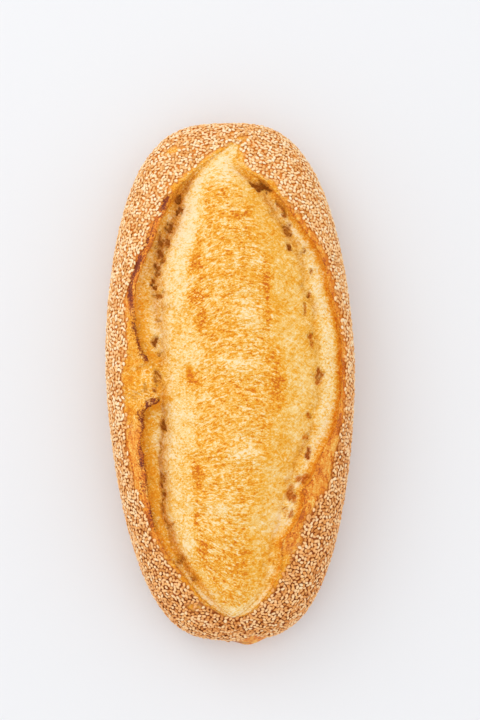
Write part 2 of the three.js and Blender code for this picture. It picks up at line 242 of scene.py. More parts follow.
# Kinds of seed: name, share of the seeds from and to, light, middle and dark colour
SEED_KINDS = [
    ("sesame_pale", 0.0, 0.24, ("#FFEAC0", "#FFE1B0", "#FED498")),
    ("sesame_golden", 0.24, 0.5, ("#FFE0AE", "#FFD49A", "#F6BE74")),
    ("sesame_toasted", 0.5, 0.76, ("#FFD296", "#F8BE78", "#E8A456")),
    ("sesame_browned", 0.76, 1.0, ("#F8C07A", "#EEAC5E", "#D68E40")),
]
# Painted shade on the lower edge of each seed: the colour away from the light, then on the lit side
SEED_SHADE_DIM_SIDE = "#C47E38"
SEED_SHADE_LIT_SIDE = "#E09A46"

# Fine relief in millimetres, and its patterns: name, mark followed, sizes, detail, roughness, distortion
RELIEF_HEIGHTS = {
    "Wrinkle Height": 0.8, "Fibre Height": 0.5, "Blister Height": 0.7, "Grain Height": 0.6,
    "Crag Height": 2.2,
}
RELIEF_PATTERNS = [
    ("Wrinkle Height", "flow", (19, 4.4), 2.0, 0.55, 0.5),
    ("Fibre Height", "stretch", (16, 2.6), 2.0, 0.55, 0.3),
    ("Grain Height", None, (2.9, 2.3, 2.6), 2.0, 0.55, 0.2),
    ("Crag Height", None, (4.2, 3.6, 4.2), 3.0, 0.55, 0.9),
]
BLISTER_SIZES = (5.6, 4.6, 5.2)
BLISTERS_LEFT_OUT = 0.6

# Patterns of the bread's colour, in the same order, and the marks its finish reads
BREAD_PATTERNS = [
    ("wrinkles", "flow", (19, 4.4), 2.0, 0.55, 0.5),
    ("strokes", "flow", (4.4, 1.7), 3.0, 0.65, 0.9),
    ("fibres", "stretch", (14, 1.6), 3.0, 0.55, 0.4),
    ("speckle", None, (1.5, 1.15, 1.3), 4.0, 0.7, 0.5),
    ("clumps", None, (4.4, 3.4, 3.8), 2.0, 0.55, 0.7),
    ("blots", None, (16, 19, 16), 2.0, 0.55, 0.3),
    ("warp", None, (3, 3, 3), 1.0, 0.55, 0.0),
    ("streaks", None, (3.5, 9, 4), 3.0, 0.55, 0.6),
    ("ragged", None, (5, 11, 8), 2.0, 0.55, 0.0),
]
BREAD_MARKS = (
    "flow", "stretch", "band", "opening", "shady", "wall", "gilt", "toasted", "pale", "hole", "painted_hollow_shade",
    "crumb", "rusty", "lip", "bare", "heel", "painted_light",
)
BUBBLE_SIZES = (2.5, 2.0, 2.3)
BUBBLE_BEND = (0.9, 0.9, 0.9)
BUBBLE_WALL_SCALE = 0.6
PORE_DEPTH = 0.8

# How finely the loaf is divided
STATIONS = 352
STATION_CROWDING = 1.35
UNDER_STEPS = 4
LOWER_STEPS = 8
UPPER_STEPS = 22
UPPER_CROWDING = 1.5
FACE_STEPS = 4
OPENING_STEPS = 196
OPENING_EDGE = 0.012

# The map for baking: margins at the seam, the ends of the rings, and how far the tips reach past them
MAP_SEAM = 0.01
MAP_ENDS = (0.02, 0.98)
MAP_TIP = 0.015

# Floor, room, window and camera
FLOOR_HALF = 3.0
ROOM_LEVEL = 0.97
ROOM_SLOPE = 0.16
WINDOW_WAY = Vector((-0.5, 0.6, 0.65)).normalized()
WINDOW_SIZE = 1.2
WINDOW_POWER = 5
WINDOW_DISTANCE = 2.2
CAMERA_LENS = 90.58
CAMERA_PLACE = (3.77, -117.0, 1283.15)
CAMERA_TILT = 6.0
CAMERA_TURN = -1.4
CAMERA_REACH = 20.0


def to_linear(code):
    """Turn an sRGB hex colour into the linear values that shaders read."""
    levels = [int(code[k:k + 2], 16) / 255 for k in (1, 3, 5)]
    return [v / 12.92 if v <= 0.04045 else ((v + 0.055) / 1.055) ** 2.4 for v in levels] + [1.0]


def add_node(tree, kind, inputs=(), stops=(), **settings):
    """Add a node with its settings, its colour stops, and the inputs it uses, in order or by name. An input
    gets a value, or a link from a socket or from the first output in use of another node."""
    kind, usual = kind if isinstance(kind, tuple) else (kind, {})
    node = tree.nodes.new(kind)
    for name, value in {**usual, **settings}.items():
        setattr(node, name, value)
    in_use = [socket for socket in node.inputs if socket.enabled]
    if isinstance(inputs, dict):
        by_name = {socket.name: socket for socket in in_use}
        in_use = [by_name[name] for name in inputs]
        inputs = inputs.values()
    for socket, value in zip(in_use, inputs):
        if isinstance(value, bpy.types.Node):
            value = next(output for output in value.outputs if output.enabled)
        if isinstance(value, bpy.types.NodeSocket):
            tree.links.new(value, socket)
        else:
            socket.default_value = value
    elements = node.color_ramp.elements if stops else []
    while len(elements) < len(stops):
        elements.new(0.5)
    for element, (place, code) in zip(elements, stops):
        element.position = place
        element.color = to_linear(code)
    return node


# Form of the loaf, with shares from 0 to 1 and heights over the floor

def bell(v):
    return np.exp(-v * v)


def eased(share):
    """Ease a share in from 0 and out to 1."""
    return share * share * (3 - 2 * share)


def step(low, high, v):
    """Rise smoothly from 0 at low to 1 at high."""
    return eased(np.clip((v - low) / (high - low), 0, 1))


def along(table, v):
    """A smooth curve through a short table of pairs."""
    place, value = np.array(table, float).T
    back = np.maximum(np.arange(len(table)) - 1, 0)
    ahead = np.minimum(np.arange(len(table)) + 1, len(table) - 1)
    slope = (value[ahead] - value[back]) / (place[ahead] - place[back])
    v = np.clip(v, place[0], place[-1])
    row = np.clip(np.searchsorted(place, v) - 1, 0, len(table) - 2)
    run = place[row + 1] - place[row]
    share = (v - place[row]) / run
    bend = run * share * (1 - share) * (slope[row] * (1 - share) - slope[row + 1] * share)
    return value[row] * (1 - eased(share)) + value[row + 1] * eased(share) + bend


def wander(v, pitch, draw):
    """A smooth random line between -1 and 1, with a new value every pitch millimetres."""
    values = np.random.default_rng(draw).uniform(-1, 1, 512)
    place = v / pitch + 200.0
    cell = np.floor(place).astype(int)
    share = eased(place - cell)
    return values[cell % 512] * (1 - share) + values[(cell + 1) % 512] * share


def patches(x, y, pitch, draw):
    """A smooth random field between -1 and 1 over the plan."""
    values = np.random.default_rng(draw).uniform(-1, 1, (256, 256))
    across, onward = x / pitch + 100.0, y / pitch + 100.0
    column, row = np.floor(across).astype(int), np.floor(onward).astype(int)
    across, onward = eased(across - column), eased(onward - row)
    left, right, near, far = column % 256, (column + 1) % 256, row % 256, (row + 1) % 256
    near_side = values[left, near] * (1 - across) + values[right, near] * across
    far_side = values[left, far] * (1 - across) + values[right, far] * across
    return near_side * (1 - onward) + far_side * onward


def end_share(y):
    """How far a place lies from the widest point, at 0, to the end of the loaf, at 1."""
    head = (y - BELLY_Y) / (HEAD_END - BELLY_Y)
    return np.where(y > BELLY_Y, head, (BELLY_Y - y) / (FOOT_END + BELLY_Y))


def half_width(y):
    taper = np.where(y > BELLY_Y, HEAD_TAPER, FOOT_TAPER)
    return WIDTH / 2 * np.maximum(1 - end_share(y) ** taper, 0) ** (1 / END_BLUNTNESS)


def tip_z(y):
    """Height of the tip at the end that is nearer."""
    return np.where(y > BELLY_Y, HEAD_TIP_Z, FOOT_TIP_Z)


def ridge(y):
    fall = np.maximum(1 - end_share(y) ** RIDGE_TAPER, 0) ** (1 / RIDGE_BLUNTNESS)
    return tip_z(y) + (DOME_TOP - tip_z(y)) * fall


def underside(y):
    share = np.clip((end_share(y) - END_LIFT_FROM) / (1 - END_LIFT_FROM), 0, 1)
    return tip_z(y) * (1 - np.sqrt(1 - share * share))


def base_share(y):
    """Width of the flat underside as a share of the whole width."""
    return BASE_SHARE * (1 - BASE_NARROWING * end_share(y) ** 4)


def bulge(y):
    """Height of the widest line."""
    return underside(y) + BULGE_SHARE * (ridge(y) - underside(y))


def dome(x, y):
    share = np.minimum(np.abs(x) / half_width(y), 1)
    rise = np.maximum(1 - share ** DOME_FULLNESS, 0) ** (1 / DOME_FULLNESS)
    return bulge(y) + (ridge(y) - bulge(y)) * rise


def tear(y, half=TEAR_HALF):
    """How far a place along the loaf lies within the tear."""
    return np.exp(-((y - TEAR_Y) / half) ** 6)


def calm_lips(y):
    """X of the left and right lip before they tore, and how far the slash opened there."""
    tip = np.clip(y, LEFT_LIP[0][0], LEFT_LIP[-1][0])
    shrink = half_width(y) / half_width(tip)
    left, right = along(LEFT_LIP, tip), along(RIGHT_LIP, tip)
    opened = np.where(y == tip, np.clip((right - left) / FULL_OPENING, 0, 1), 0)
    middle = (left + right) / 2
    half = np.maximum((right - left) / 2, SEAM_HALF) + SEAM_SPREAD * np.abs(y - tip)
    return (middle - half) * shrink, (middle + half) * shrink, opened


def lips(y):
    """X of the left and right lip with the tear, the hooks, the nibs and small wanderings."""
    left, right, opened = calm_lips(y)
    left = left - TEAR_SPREAD * tear(y)
    for hook_y, reach, half in LEFT_HOOKS:
        left = left + reach * bell((y - hook_y) / half)
    for nib_y, reach, half in RIGHT_NIBS:
        right = right - reach * bell((y - nib_y) / half)
    left = left + opened * (0.7 * wander(y, 11, 31) + 0.5 * wander(y, 3.7, 32))
    right = right + opened * (0.7 * wander(y, 12, 33) + 0.5 * wander(y, 4.1, 34))
    return left, right, opened


def overhang(y):
    """How far the lips lean over the troughs, as a share: not at all where the slash closes at the head."""
    return 1 - step(112, 130, y)


def upper_crust(y, side, share):
    """The crust from the widest line (0) to the lip (1): X, Z and how far outside the lip."""
    left, right, opened = lips(y)
    lip = np.where(side > 0, right, left)
    half = half_width(y)
    x = side * half + (lip - side * half) * share ** UPPER_CROWDING
    gap = np.abs(x - lip)
    kept = 1 - tear(y) if side < 0 else 1.0
    uneven = 1 + 0.35 * wander(y, 9, 41 + side)
    curl = LIP_RISE * opened * kept * uneven * bell(gap / LIP_ROLL)
    lean = LIP_TUCK * opened * bell(gap / 2.5) * overhang(y)
    return x - side * lean, dome(x, y) + curl, gap


def lower_crust(y, side, share):
    """The crust from the underside (0) to the widest line (1): X and Z."""
    turn = share * math.pi / 2
    across = base_share(y) + (1 - base_share(y)) * np.sin(turn)
    rise = (bulge(y) - underside(y)) * (1 - np.cos(turn))
    return side * half_width(y) * across, underside(y) + rise


def trough_drift(y, share):
    """How far the troughs stray from their usual share of the way across."""
    trough = along(LEFT_TROUGH, y)
    left = (DEEPEST_LEFT - trough + 0.012 * wander(y, 13, 51)) * bell((share - trough) / 0.1)
    return left + 0.016 * wander(y, 15, 52) * bell((share - DEEPEST_RIGHT) / 0.1)


def opening_x(y, share):
    """X across the opening: the troughs keep their line where a lip is torn, and only the walls give way."""
    calm_left, calm_right = calm_lips(y)[:2]
    left, right = lips(y)[:2]
    calm = calm_left + (calm_right - calm_left) * share
    left_end = calm_left + (calm_right - calm_left) * WALL_SHARE
    right_end = calm_right - (calm_right - calm_left) * WALL_SHARE
    on_left = left + (left_end - left) * share / WALL_SHARE
    on_right = right + (right_end - right) * (1 - share) / WALL_SHARE
    return np.where(share < WALL_SHARE, on_left, np.where(share > 1 - WALL_SHARE, on_right, calm))


def opening(y, share):
    """The stretched dough between the lips, from the left lip (0) to the right (1)."""
    x, opened = opening_x(y, share), lips(y)[2]
    filled = TEAR_FILL * tear(y, TEAR_FLUSH_HALF) * bell(share / TEAR_REACH)
    phase = 2 * math.pi * y / SWELL_PITCH + SWELL_DRIFT * x
    swell = SWELL_HEIGHT * (np.sin(phase) + np.sin(phase / SWELL_SECOND)) * np.sin(math.pi * share)
    depth = along(OPENING_PROFILE, np.clip(share + trough_drift(y, share), 0, 1))
    depth = depth * np.where(depth < 0, along(TROUGH_DEPTH, y) * (1 + 0.2 * wander(y, 24, 53)), 1)
    return x, dome(x, y) + opened * (depth * (1 - filled) + swell)


def hole_places():
    """The holes placed one by one, and small ones strewn along both troughs."""
    draw = np.random.default_rng(HOLE_DRAW)
    places = list(TORN_HOLES)
    for k in range(SMALL_HOLES):
        hole_y = draw.uniform(-138, 140)
        left, right = calm_lips(np.array(hole_y))[:2]
        trough = along(LEFT_TROUGH, np.array(hole_y))
        middle = draw.normal(trough, 0.022) if k % 2 else draw.normal(DEEPEST_RIGHT - 0.01, 0.03)
        half = draw.uniform(0.7, 1.7)
        long_half = half * draw.uniform(1.0, 2.2)
        deep = half * draw.uniform(0.8, 1.8)
        places.append((left + (right - left) * middle, hole_y, half, long_half, deep))
    return places


def holes(x, y, share):
    """Depth of torn holes and crevices at a place in the plan, how far inside one it lies, and how near, for
    the shade painted round them and along the troughs.
    """
    ragged = 0.4 * patches(x, y, 3.1, 61) + 0.25 * patches(x, y, 1.5, 62)
    bent_x = x + 1.5 * patches(x, y, 3.6, 65) + 0.8 * patches(x, y, 1.7, 66)
    bent_y = y + 1.8 * patches(x, y, 3.9, 67) + 0.9 * patches(x, y, 1.9, 68)
    depth = np.zeros_like(x)
    inside = np.zeros_like(x)
    near = np.zeros_like(x)
    for hole_x, hole_y, half, long_half, deep in hole_places():
        reach = np.hypot((bent_x - hole_x) / half, (bent_y - hole_y) / long_half) + ragged
        fill = 1 - step(0.55, 1.1, reach)
        depth = np.maximum(depth, 0.8 * deep * fill)
        inside = np.maximum(inside, fill * min(1, 0.2 + 0.14 * deep))
        # Painted shade round each hole, stronger on the left and high up
        brown = 0.9 if hole_x < 0 or hole_y > 80 else 0.45
        near = np.maximum(near, brown * bell(reach / 1.6))
    width = calm_lips(y)[1] - calm_lips(y)[0]
    for line, strength, painted_trough_shade, draw_at in (
        (DEEPEST_LEFT, LEFT_CREVICE, LEFT_PAINTED_SHADE, 63), (DEEPEST_RIGHT, RIGHT_CREVICE, RIGHT_PAINTED_SHADE, 64),
    ):
        away = (share + trough_drift(y, share) - line) * width + 1.2 * wander(y, 6, draw_at + 2)
        gate = step(-0.5, 0.5, wander(y, 12, draw_at) + 0.4 * wander(y, 4, draw_at + 4))
        cut = along(strength, y) * (0.5 + 0.5 * gate) * bell(away / along(CREVICE_HALF, y) + ragged)
        depth = np.maximum(depth, CREVICE_DEPTH * cut)
        inside = np.maximum(inside, 0.9 * cut)
        inward = away if line < 0.5 else -away
        near = np.maximum(near, along(painted_trough_shade, y) * bell(away / np.where(inward > 0, 4.5, 2.5)))
    return depth, inside, near


def loaf_surface():
    """Rings of points around the loaf from foot to head, with what the finishes need to know of each."""
    s = np.linspace(-1, 1, STATIONS + 1)[1:-1]
    reach = np.where(s < 0, FOOT_END, HEAD_END)
    y = (np.sign(s) * reach * (1 - (1 - np.abs(s)) ** STATION_CROWDING))[:, None]
    rows = []

    def put(x, z, **facts):
        shape = np.broadcast(x, z, y).shape
        row = {"x": x, "z": z, "inner": 0.0, "share": 0.0, "gap": 99.0, "side": 0.0}
        row.update(facts)
        rows.append({name: np.broadcast_to(value, shape) for name, value in row.items()})

    base = half_width(y) * base_share(y)
    flat = np.arange(UNDER_STEPS)[None, :] / UNDER_STEPS
    lower = np.arange(LOWER_STEPS)[None, :] / LOWER_STEPS
    upper = np.arange(UPPER_STEPS + 1)[None, :] / UPPER_STEPS
    face = np.arange(1, FACE_STEPS)[None, :] / FACE_STEPS
    dough = np.linspace(OPENING_EDGE, 1 - OPENING_EDGE, OPENING_STEPS + 1)[None, :]
    opened = lips(y)[2]

    put(base * flat, underside(y))
    put(*lower_crust(y, 1, lower), side=1.0)
    right_x, right_z, right_gap = upper_crust(y, 1, upper)
    put(right_x, right_z, gap=right_gap, side=1.0)
    dough_x, dough_z = opening(y, dough)
    left_x, left_z, left_gap = upper_crust(y, -1, upper)
    under = LIP_TUCK * opened * overhang(y) * np.sin(math.pi * face)
    under_left = under * (1 - tear(y, TEAR_FLUSH_HALF))
    put(right_x[:, -1:] + (dough_x[:, -1:] - right_x[:, -1:]) * face + under,
        right_z[:, -1:] + (dough_z[:, -1:] - right_z[:, -1:]) * face,
        inner=1.0, share=1.0, gap=0.0, side=1.0)
    put(dough_x[:, ::-1], dough_z[:, ::-1], inner=1.0, share=dough[:, ::-1], gap=0.0, side=1.0)
    put(left_x[:, -1:] + (dough_x[:, :1] - left_x[:, -1:]) * face[:, ::-1] - under_left,
        left_z[:, -1:] + (dough_z[:, :1] - left_z[:, -1:]) * face[:, ::-1],
        inner=1.0, gap=0.0, side=-1.0)
    put(left_x[:, ::-1], left_z[:, ::-1], gap=left_gap[:, ::-1], side=-1.0)
    low_x, low_z = lower_crust(y, -1, lower)
    put(low_x[:, ::-1], low_z[:, ::-1], side=-1.0)
    put(-base * flat[:, :0:-1], underside(y))

    at = SimpleNamespace(**{name: np.concatenate([row[name] for row in rows], axis=1) for name in rows[0]})
    at.y = np.broadcast_to(y, at.x.shape)
    return at


# Marks on the loaf that the relief and the finishes read, placed along Y with the head at +Y

def spread(places, x, y):
    """How strongly any of the listed patches covers a place, with wandering edges."""
    bent_x, bent_y = x + 2.5 * patches(x, y, 6, 76), y + 3 * patches(x, y, 7, 77)
    cover = np.zeros_like(x)
    for patch_x, patch_y, half, long_half in places:
        away = np.hypot((bent_x - patch_x) / half, (bent_y - patch_y) / long_half)
        cover = np.maximum(cover, bell(away))
    return cover


def slanted(x, y, spot):
    """How near a place lies to a spot with its X, Y, turn from X in degrees, half length and half width."""
    spot_x, spot_y, degrees, long_half, short_half = spot
    across, onward = math.cos(math.radians(degrees)), math.sin(math.radians(degrees))
    long_way = (x - spot_x) * across + (y - spot_y) * onward
    short_way = (x - spot_x) * onward - (y - spot_y) * across
    return bell(long_way / long_half) * bell(short_way / short_half)


def find_places(at):
    """Add which side every point is on, how far inside a lip or beyond it, and if it is dough or crust."""
    left, right, at.opened = lips(at.y)
    calm_left, calm_right = calm_lips(at.y)[:2]
    at.cut = at.inner > 0
    at.on_left = np.where(np.where(at.cut, at.share < 0.5, at.side < 0), 1.0, 0.0)
    at.inner = at.inner * step(0.004, 0.05, at.opened)
    at.crust = 1 - at.inner
    at.inset = np.where(at.on_left > 0, at.x - left, right - at.x)
    at.beyond = np.where(at.on_left > 0, calm_left - at.x, at.x - calm_right)
    at.underneath = np.where(at.side == 0, 1.0, 0.0)
    at.above = step(-4, 0, at.z - bulge(at.y))
    at.closed = 1 - step(0.0, 0.05, at.opened)
    at.wide_open = step(0.2, 0.6, at.opened)
    at.near_head = step(112, 126, at.y)
    at.near_foot = step(-112, -128, at.y)
    wall = at.inner * (1 - step(5, 13, at.inset)) * (0.15 + 0.85 * at.on_left) * at.wide_open
    at.wall = wall * (1 - 0.85 * step(45, 70, at.y))
    at.torn_in = at.inner * at.on_left * tear(at.y, TEAR_FLUSH_HALF) * (1 - step(0.1, 0.16, at.share))


def crust_marks(at):
    """Crust with seeds, crust left bare beside the lips or rubbed bare, and the flaky heel."""
    x, y = at.x, at.y
    bare = np.where(at.on_left > 0, along(LEFT_BARE, y), along(RIGHT_BARE, y))
    edge = bare + 0.9 * patches(x, y, 4, 71) + 0.5 * patches(x, y, 2, 72)
    frayed = 5 * patches(x, at.z, 7, 79) + 3 * patches(x, at.z, 3, 80)
    arch = HEEL_ARCH - HEEL_ARCH_BEND * (x - HEEL_ARCH_X) ** 2 + frayed
    heel = step(-165, -171, y) * step(-3, 3, arch - at.z)
    scuff = spread(SCUFFED, x, y) * at.above
    low = step(SEED_LOWEST - 2, SEED_LOWEST + 4, at.z + 2 * patches(x, y, 5, 73))
    seeded = at.crust * np.maximum.reduce([step(0, 1.2, at.beyond - edge), at.closed, 1 - at.above]) * low
    seeded = seeded * (1 - step(0.25, 0.5, heel)) * (1 - 0.85 * scuff)
    strip = at.crust * np.maximum((1 - step(0, 2, at.beyond - edge)) * (1 - at.closed) * at.above, scuff)
    return {
        "seeded": seeded * (1 - at.underneath * (1 - at.closed)),
        "bare": strip,
        "heel": np.maximum(heel * at.crust, at.underneath),
    }


def lip_marks(at):
    """The burnt line along the lips and the rust beside it, both strongest on the left."""
    x, y = at.x, at.y
    out = along(BURNT_OUT, y) * at.on_left
    ajar = step(0.02, 0.2, at.opened)
    untorn = 1 - at.on_left * step(-15.5, -14, y) * (1 - step(9, 11, y))
    rusty = np.where(at.cut, bell(at.inset / (1.3 + 0.3 * at.on_left)), bell(np.maximum(at.gap - out, 0) / 3))
    rusty = rusty * ajar * (1 - 0.8 * step(120, 140, y)) * (0.55 + 0.45 * at.on_left) * untorn
    below_tear = step(-112, -92, y) * (1 - step(-24, -14, y))
    above_tear = step(6, 12, y) * (1 - step(28, 40, y))
    broad = 1 + at.on_left * (1.1 * below_tear + 0.9 * above_tear)
    lip = np.where(at.cut, bell((at.inset + out) / 1.9), bell((at.gap - out) / (2.2 * broad)))
    fading = (1 - 0.7 * step(-95, -112, y)) * (1 - 0.9 * step(120, 138, y))
    flaring = 1 + at.on_left * step(40, 58, y) * (0.1 + 0.4 * wander(y, 8, 93))
    lip = lip * untorn * fading * flaring * ajar * (0.2 + 0.8 * at.on_left)
    hook = at.crust * np.minimum(1.5 * slanted(x, y, BURNT_HOOK), 1)
    crack = slanted(x, y, HEAD_CRACK)
    return {
        "lip": np.maximum.reduce([lip, 1.15 * hook, 0.9 * crack]),
        "rusty": np.maximum(rusty, 1.7 * spread(SCORCHED, x, y) * at.inner),
    }


def dough_marks(at, golden, foot_gold):
    """Where the opened dough is toasted or pale, with painted shade on the right slope, and the bare crust
    that is as golden as the dough.
    """
    x, y = at.x, at.y
    wobble = 0.03 * patches(x, y, 14, 74) + 0.015 * patches(x, y, 6, 75)
    on_band = step(0.24, 0.33, at.share + wobble) * (1 - step(0.64, 0.74, at.share + wobble))
    from_rim = (at.inset + patches(x, y, 5, 78)) * (0.7 + 0.3 * at.on_left)
    rim = at.inner * (1 - step(3.5, 7, from_rim)) * step(-100, -135, y)
    right_open = (1 - at.on_left) * step(0.3, 0.6, at.opened)
    by_head = at.near_head * (1 - step(146, 156, y))
    far_wall = at.inner * right_open * step(0.88, 0.93, at.share) * step(3, 8, at.inset)
    upper_slope = at.inner * step(0.11, 0.16, at.share) * (1 - step(0.22, 0.3, at.share)) * step(35, 95, y)
    toasted = spread(TOASTED, x, y) * np.maximum(at.inner, golden)
    toasted_foot = 0.2 * step(-95, -125, y) * at.inner * (1 - rim)
    walls = [at.wall * (1 - 0.7 * rim), 0.65 * golden, 0.75 * at.torn_in, 0.8 * foot_gold]
    pales = [spread(PALE, x, y) * at.inner, 0.5 * rim, 0.42 * far_wall, 0.75 * upper_slope]
    return {
        "opening": np.maximum.reduce([at.inner, 0.9 * golden, 0.9 * foot_gold]),
        "band": on_band * at.inner * step(0.08, 0.4, at.opened) * (1 - rim),
        "gilt": at.inner * (1 - step(1.5, 8.5, at.inset)) * np.maximum(right_open, 0.8 * by_head),
        # painted shade: the right slope, turned away from the light, a little darker and less speckled
        "shady": at.inner * step(0.55, 0.75, at.share) * (1 - step(0.86, 0.92, at.share)) * at.wide_open,
        "wall": np.maximum.reduce(walls),
        "toasted": np.maximum(toasted, toasted_foot),
        "pale": np.maximum.reduce(pales),
    }


def torn_marks(at, golden):
    """Torn holes, the painted shade round them, in the troughs and along folds at the foot, open crumb and
    crags, and how deep the holes go.
    """
    x, y = at.x, at.y
    depth, hole, near_hole = holes(x, y, at.share)
    under_lip = (1 - at.on_left) * step(120, 126, y)
    allowed = at.inner * step(0.1, 0.4, at.opened) * step(1 - under_lip, 3 - 2.4 * under_lip, at.inset)
    waver = at.inset + 0.9 * wander(y, 9, 91) + 0.5 * wander(y, 3, 92)
    # Painted shadow lines along the folds at the rim of the foot
    folds = np.maximum(bell((waver - 4) / 0.7), 0.7 * bell((waver - 6.8) / 0.6)) * at.near_foot
    open_crumb = [at.torn_in, golden * tear(y, TEAR_CRUMB_HALF), 0.6 * near_hole * at.inner * at.on_left]
    crags = np.maximum(np.maximum(near_hole, at.wall), golden * (1.3 - step(105, 122, y)))
    return {
        "hole": hole * allowed,
        "painted_hollow_shade": np.maximum(near_hole, folds) * at.inner,
        "crumb": np.maximum.reduce(open_crumb),
        "crag": crags * np.maximum(at.inner, golden),
    }, depth * allowed


def loaf_marks(at):
    """Where the loaf is seeded, bare, toasted or torn and where light and shade are painted, as one number
    each at every point, and its holes.
    """
    x, y = at.x, at.y
    find_places(at)
    on_crust = crust_marks(at)
    beside_tear = at.on_left * step(-40, -22, y) * (1 - step(38, 52, y))
    golden = on_crust["bare"] * np.maximum(beside_tear, at.near_head)
    foot_gold = on_crust["bare"] * at.near_foot
    torn, depth = torn_marks(at, golden)
    bend = FLOW_BEND * (1 - 3 * step(-40, -130, y))
    guides = {
        # painted light: the crust between the seeds lighter toward the head
        "painted_light": step(-150, 60, y),
        "flow": y + bend * (x - FLOW_MIDDLE) ** 2,
        "stretch": y - STRETCH_BEND * x * x,
    }
    return {**on_crust, **lip_marks(at), **dough_marks(at, golden, foot_gold), **torn, **guides}, depth


def loaf_mesh():
    """One closed mesh of the loaf, with its marks as attributes and a map for baking."""
    at = loaf_surface()
    marks, depth = loaf_marks(at)
    count, around = at.x.shape
    near = np.clip((HEEL_FROM - at.y) / (FOOT_END + HEEL_FROM), 0, 1)
    pull = HEEL_REACH * near * bell((at.x - HEEL_X) / HEEL_HALF_WIDTH)
    pull = pull * bell((at.z - HEEL_Z) / HEEL_HALF_HEIGHT)
    rings = np.stack([at.x, at.y - pull, at.z - depth], -1)
    heel_end = HEEL_REACH * bell(HEEL_X / HEEL_HALF_WIDTH) * bell((FOOT_TIP_Z - HEEL_Z) / HEEL_HALF_HEIGHT)
    foot, head = [[0, -FOOT_END - heel_end, FOOT_TIP_Z]], [[0, HEAD_END, HEAD_TIP_Z]]
    points = np.concatenate([foot, rings.reshape(-1, 3), head]) * MM
    head_pole = len(points) - 1

    j = np.arange(around)
    k = np.arange(count - 1)[:, None]
    first, second = 1 + k * around + j, 1 + k * around + (j + 1) % around
    quads = np.stack([first, first + around, second + around, second], -1).reshape(-1, 4)
    last = 1 + (count - 1) * around
    foot_fan = np.stack([np.zeros_like(j), 1 + j, 1 + (j + 1) % around], -1)
    head_fan = np.stack([np.full_like(j, head_pole), last + (j + 1) % around, last + j], -1)
    mesh = bpy.data.meshes.new("loaf")
    mesh.from_pydata(points.tolist(), [], foot_fan.tolist() + quads.tolist() + head_fan.tolist())

    for name, values in marks.items():
        ends = np.concatenate([[0.0], values.reshape(-1), [0.0]]).astype(np.float32)
        mesh.attributes.new(name, "FLOAT", "POINT").data.foreach_set("value", ends)

    steps = np.linalg.norm(np.diff(rings, axis=1, append=rings[:, :1]), axis=2)
    u = np.concatenate([np.zeros((count, 1)), np.cumsum(steps, axis=1)], axis=1)
    u = u / u[:, -1:]
    v = np.broadcast_to(np.linspace(*MAP_ENDS, count)[:, None], u.shape)
    grid = np.stack([u * (1 - 2 * MAP_SEAM) + MAP_SEAM, v], -1)
    quad_uv = np.stack([grid[:-1, :-1], grid[1:, :-1], grid[1:, 1:], grid[:-1, 1:]], 2)
    foot_uv = np.stack([(grid[0, :-1] + grid[0, 1:]) / 2 - (0, MAP_TIP), grid[0, :-1], grid[0, 1:]], 1)
    head_uv = np.stack([(grid[-1, :-1] + grid[-1, 1:]) / 2 + (0, MAP_TIP), grid[-1, 1:], grid[-1, :-1]], 1)
    corners = np.concatenate([part.reshape(-1, 2) for part in (foot_uv, quad_uv, head_uv)])
    mesh.uv_layers.new(name="OFBake").data.foreach_set("uv", corners.astype(np.float32).ravel())
    mesh.validate()
    mesh.shade_smooth()
    return mesh


# Patterns and trees

def pattern_space(add, place, sizes, line=None):
    """Coordinates for a pattern with sizes in millimetres: a grid, or lines across the loaf along a mark."""
    if line is None:
        per_metre = [1 / (mm * MM) for mm in sizes]
        return add("ShaderNodeVectorMath", [place, per_metre], operation="MULTIPLY")
    long_mm, wide_mm = sizes
    across = add(SPLIT, [place])
    long_way = add(MULTIPLY, [across, 1 / (long_mm * MM)])
    wide_way = add(DIVIDE, [line, wide_mm])
    return add(JOIN, [long_way, wide_way])


def grown_patterns(add, place, mark, table):
    """One noise for each row of a table of patterns, by name."""
    made = {}
    for name, line, sizes, detail, rough, distortion in table:
        made[name] = add("ShaderNodeTexNoise", {
            "Vector": pattern_space(add, place, sizes, mark.get(line)), "Scale": 1.0, "Detail": detail,
            "Roughness": rough, "Distortion": distortion,
        })
    return made


def add_up(add, total, influences):
    """Add to a total how far each value lies from its middle, times its weight."""
    for value, middle, weight in influences:
        away = add(SUBTRACT, [value, middle])
        total = add(MULTIPLY_ADD, [away, weight, total])
    return total


def new_tree(name, sockets):
    """A tree with a mesh in and out and named inputs, what adds its nodes, and what the tree is given."""
    tree = bpy.data.node_groups.new(name, "GeometryNodeTree")
    tree.interface.new_socket("Geometry", in_out="INPUT", socket_type="NodeSocketGeometry")
    for socket, kind in sockets.items():
        tree.interface.new_socket(socket, in_out="INPUT", socket_type="NodeSocket" + kind)
    tree.interface.new_socket("Geometry", in_out="OUTPUT", socket_type="NodeSocketGeometry")
    add = partial(add_node, tree)
    return tree, add, add("NodeGroupInput").outputs


def made_plain(piece, tree, values):
    """Run a tree on a piece with the given inputs, and leave a plain mesh with no modifier."""
    modifier = piece.modifiers.new("made", "NODES")
    modifier.node_group = tree
    for item in tree.interface.items_tree:
        if item.in_out == "INPUT" and item.name in values:
            modifier[item.identifier] = values[item.name]
    piece.update_tag()
    graph = bpy.context.evaluated_depsgraph_get()
    mesh = bpy.data.meshes.new_from_object(piece.evaluated_get(graph))
    piece.modifiers.remove(modifier)
    old = piece.data
    piece.data = mesh
    bpy.data.meshes.remove(old)
    mesh.name = piece.name
    return piece


# Fine relief of the opened dough

